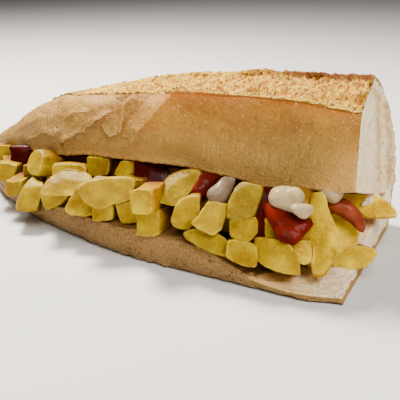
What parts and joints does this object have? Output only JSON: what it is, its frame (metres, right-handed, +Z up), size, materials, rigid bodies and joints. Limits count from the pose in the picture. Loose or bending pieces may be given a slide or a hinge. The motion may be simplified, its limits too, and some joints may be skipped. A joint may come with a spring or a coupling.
{
  "type": "patso sandwich",
  "caption": "Half a crusty white loaf, slit open along the front and hinged at the back, packed with thick fries, ketchup and mayonnaise.",
  "frame": {"origin": "middle of the whole sandwich's footprint, on the surface it lies on", "axes": "+X along the loaf from its tip to its cut end, +Y to the back where the halves are joined, +Z up"},
  "size_m": [0.2166, 0.1044, 0.0754],
  "materials": {
    "bread": "golden brown baked crust with a paler burst strip on top and off-white open crumb where it is cut",
    "fries": "fried potato, bright yellow with paler grainy cut ends and a faint oily gloss",
    "ketchup": "wet, dark red, smooth and glossy",
    "mayonnaise": "creamy off-white, smooth and softly glossy"
  },
  "bodies": {
    "root": {"bread": "bread", "fries": "fries", "ketchup_tip": "ketchup", "ketchup_middle": "ketchup", "ketchup_drop": "ketchup", "ketchup_pool": "ketchup", "ketchup_end": "ketchup", "mayonnaise_drop": "mayonnaise", "mayonnaise_dollop": "mayonnaise", "mayonnaise_end": "mayonnaise"}
  },
  "joints": []
}
